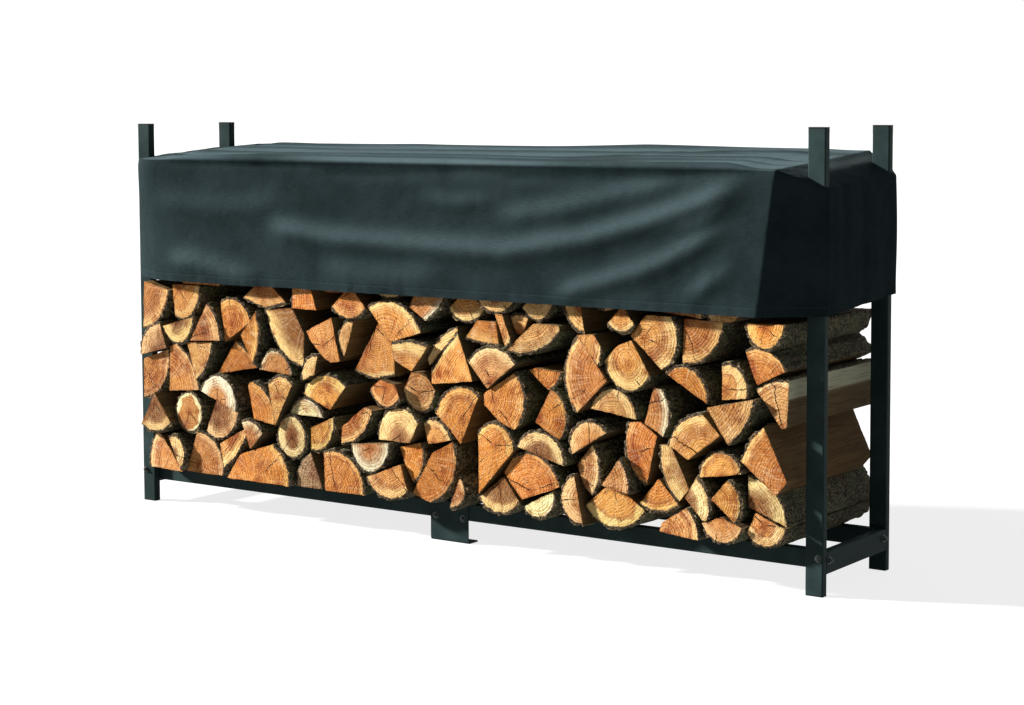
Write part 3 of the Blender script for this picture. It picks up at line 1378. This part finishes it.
@dataclass
class Fasteners:
    """The bolts that hold the rack together: a washer and a six-sided head, or a nut on the thread's end."""

    washer_radius: float = 0.0105
    washer_height: float = 0.0016
    head_radius: float = 0.0075
    head_height: float = 0.0052
    thread_radius: float = 0.0036
    thread_height: float = 0.0095
    post_offset: float = 0.012
    post_bolt_z: float = 0.101
    rail_bolt: tuple[float, float] = (0.165, 0.092)
    foot_bolt: tuple[float, float] = (0.049, 0.074)
    head_turn: float = 0.37
    sharp_angle: float = 30

    @staticmethod
    def turned(profile: Sequence[tuple[float, float]], sides: int) -> Surface:
        """A profile of radius and height carried round its axis.

        Args:
            profile: radius and height from the foot to the tip; it ends on the axis.
            sides: number of steps round.

        Returns:
            The surface about +Z.
        """
        turn = np.arange(sides) * 2 * math.pi / sides
        radius, height = np.array(profile[:-1]).T[..., None]
        points = np.stack([radius * np.cos(turn), radius * np.sin(turn), height + 0 * turn], -1)
        points = points.reshape(-1, 3)
        tip = len(points)
        quads = Surface.ring_grid(len(radius), sides)
        last = tip - sides + np.arange(sides)
        fan = np.column_stack([last, np.roll(last, -1), np.full(sides, tip)])
        return Surface(
            np.concatenate([points, [[0, 0, profile[-1][1]]]]),
            np.concatenate([quads.ravel(), fan.ravel()]),
            np.concatenate([np.full(len(quads), 4), np.full(sides, 3)]),
        )

    def one(self, place: Sequence[float], side: Side, turn: float) -> Surface:
        """One bolt on a face.

        Args:
            place: where its axis meets the face.
            side: which way it faces.
            turn: turn of its head about the axis.

        Returns:
            Washer, head and thread's end as one surface.
        """
        w, h, r, t = self.washer_radius, self.washer_height, self.head_radius, self.thread_radius
        top, tip = h + self.head_height, h + self.thread_height
        bolt = Surface.joined([
            self.turned([(w, 0), (w, h * 0.7), (w * 0.95, h), (0, h)], 28),
            self.turned([(r, h), (r, top - 0.0008), (r * 0.86, top), (0, top)], 6),
            self.turned([(t, top), (t, tip - 0.001), (t * 0.7, tip), (0, tip)], 14),
        ])
        axis, cosine, sine = np.array(side.value, float), math.cos(turn), math.sin(turn)
        basis = np.stack([np.cross(UP, axis), UP, axis])
        spin = np.array([[cosine, sine, 0], [-sine, cosine, 0], [0, 0, 1]])
        bolt.points = bolt.points @ spin @ basis + np.array(place)
        return bolt

    def build(self, material: bpy.types.Material, slot: str) -> bpy.types.Object:
        """Sets the bolts on the uprights, the end rails and the centre feet.

        Args:
            material: the bolts' finish.
            slot: the record's material slot.

        Returns:
            All bolts as one piece.
        """
        bolts = []
        post_low, post_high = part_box("front_right_upright")
        post_x = (post_low.x + post_high.x) / 2 + self.post_offset
        rail_x, foot_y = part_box("right_end_rail")[1].x, -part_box("front_centre_foot")[0].y
        (rail_y, rail_z), (foot_x, foot_z) = self.rail_bolt, self.foot_bolt
        for sx, end in ((-1, Side.LEFT), (1, Side.RIGHT)):
            for sy, face in ((-1, Side.FRONT), (1, Side.BACK)):
                bolts.append(((sx * post_x, -sy * post_low.y, self.post_bolt_z), face))
            for sy, face in ((-1, Side.FRONT), (1, Side.BACK)):
                bolts.append(((sx * rail_x, sy * rail_y, rail_z), end))
                bolts.append(((sx * foot_x, sy * foot_y, foot_z), face))
        parts = [self.one(place, side, self.head_turn * i) for i, (place, side) in enumerate(bolts)]
        return Surface.joined(parts).build("bolts", material, slot, self.sharp_angle)


@dataclass
class SteelFrame:
    """The uprights, rails, feet, caps and plugs, which keep the frame's own solids."""

    rails: tuple[str, ...] = tuple(f"{face}_rail_{end}" for face in FACES for end in ENDS)
    end_rails: tuple[str, ...] = tuple(f"{end}_end_rail" for end in ENDS)
    feet: tuple[str, ...] = tuple(f"{face}_centre_foot" for face in FACES)
    plastic: tuple[str, ...] = ("upright_caps", "ground_plugs")

    def dress(self, steel: bpy.types.Material, plastic: bpy.types.Material) -> None:
        """Gives every solid its finish.

        Args:
            steel: finish of the tubes and plates.
            plastic: finish of the caps and plugs.
        """
        steel_solids = UPRIGHTS + self.rails + self.end_rails + self.feet
        for names, material in ((steel_solids, steel), (self.plastic, plastic)):
            for name in names:
                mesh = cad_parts[name].data
                mesh.materials.clear()
                mesh.materials.append(material)


@dataclass
class Studio:
    """A pale floor, soft light from the front left, and the camera at the photograph's angle."""

    eye: tuple[float, float, float] = (3.6885, -5.1632, 1.3027)
    yaw: float = -0.6179
    pitch: float = -0.0765
    roll: float = -0.0048
    sensor: float = 36.0
    focal_share: float = 2141.7 / 1024
    shift: tuple[float, float] = (0.0223, -0.0903)
    far_clip: float = 200.0
    sun_from: tuple[float, float, float] = (-0.84, -0.355, 0.40)
    sun_power: float = 9.3
    sun_angle: float = math.radians(4)
    sun_colour: Colour = (1.0, 0.97, 0.92)
    sky_power: float = 0.14
    sky_colour: Colour = (0.90, 0.95, 1.0)
    white: Colour = (1.0, 1.0, 1.0)
    floor_reach: float = 60.0
    floor_tones: tuple[float, float] = (0.26, 0.28)
    floor_glow: float = 0.80

    @staticmethod
    def aim(thing: bpy.types.Object, axes: Sequence[Array], at: Sequence[float]) -> None:
        """Sets an object's own X, Y and Z axes and its place."""
        turn = np.eye(4)
        turn[:3] = np.column_stack([*axes, at])
        thing.matrix_world = Matrix(turn.tolist())

    def camera(self) -> None:
        """Turns the camera by yaw, pitch and roll from looking along +Y."""
        level = np.array([math.cos(self.yaw), -math.sin(self.yaw), 0.0])
        ahead = np.array([math.sin(self.yaw), math.cos(self.yaw), 0.0])
        forward = ahead * math.cos(self.pitch) + UP * math.sin(self.pitch)
        right = math.cos(self.roll) * level + math.sin(self.roll) * np.cross(level, forward)
        data = bpy.data.cameras.new("view")
        data.sensor_width = self.sensor
        data.lens = self.focal_share * self.sensor
        data.shift_x, data.shift_y = self.shift
        data.clip_end = self.far_clip
        camera = set_out("view", data)
        self.aim(camera, (right, np.cross(right, forward), -forward), self.eye)
        bpy.context.scene.camera = camera

    def lights(self) -> None:
        """A broad sun from the front left and an even sky that is white to the camera."""
        data = bpy.data.lights.new("key", "SUN")
        data.energy, data.angle, data.color = self.sun_power, self.sun_angle, self.sun_colour
        back = unit(np.array(self.sun_from))
        side = unit(np.cross(UP, back))
        self.aim(set_out("key", data), (side, np.cross(back, side), back), (0.0, 0.0, 0.0))
        world = bpy.data.worlds.new("sky")
        bpy.context.scene.world = world
        g = Graph(world)
        sky = g.wire("ShaderNodeBackground", {0: self.sky_colour, 1: self.sky_power})
        white = g.wire("ShaderNodeBackground", {0: self.white})
        both = g.wire("ShaderNodeMixShader", {0: self.shown(g), 1: sky, 2: white})
        g.node("ShaderNodeOutputWorld", {0: both})

    @staticmethod
    def shown(g: Graph) -> Wire:
        """1 for rays that the camera sees, directly or in gloss or glass."""
        path = g.node("ShaderNodeLightPath", {}).outputs
        names = ("Is Camera Ray", "Is Glossy Ray", "Is Transmission Ray")
        camera, gloss, glass = (Wire(g, path[name]) for name in names)
        return g.calc("MAXIMUM", g.calc("MAXIMUM", camera, gloss), glass)

    def floor(self) -> None:
        """A wide pale floor: it takes shadows, and glows just enough to be white to the camera."""
        reach = self.floor_reach
        corners = [(-reach, -reach, 0), (reach, -reach, 0), (reach, reach, 0), (-reach, reach, 0)]
        mesh = bpy.data.meshes.new("floor")
        mesh.from_pydata(corners, [], [(0, 1, 2, 3)])
        g = Graph(bpy.data.materials.new("pale_floor"))
        dark, light = ((tone,) * 3 for tone in self.floor_tones)
        mesh.materials.append(g.finish({
            "Base Color": g.mix(g.noise(g.place(), 0.6), dark, light),
            "Roughness": 0.9,
            "Specular IOR Level": 0.1,
            "Emission Color": self.white,
            "Emission Strength": self.shown(g) * self.floor_glow,
        }))
        set_out("floor", mesh)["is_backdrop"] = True

    def build(self) -> None:
        """Sets the camera, lights, floor and colour handling."""
        bpy.context.scene.view_settings.view_transform = "Standard"
        self.camera()
        self.lights()
        self.floor()


def main() -> None:
    """Dresses the frame, builds the pieces and sets the studio."""
    logging.basicConfig(level=logging.INFO, format="%(message)s")
    SteelFrame().dress(PowderCoat().material(), MouldedPlastic().material())
    LOGGER.info("steel frame dressed")
    pieces = [Fasteners().build(BoltSteel().material(), "powder_coated_steel")]
    layers = tuple(sorted(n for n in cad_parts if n.startswith("log_layer_")))
    pieces += LogPile(layers).build(SplitWood().material(), "split_wood")
    pieces.append(Cover().build(CoverCloth().material(), "cover_cloth"))
    for piece in pieces:
        LOGGER.info("%s: %d faces", piece.name, len(piece.data.polygons))
    Studio().build()
    boxes = {"cad": CAD_BOX, "visual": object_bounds()}
    {k: [list(map(float, corner)) for corner in box] for k, box in boxes.items()}


if __name__ == "__main__":
    main()
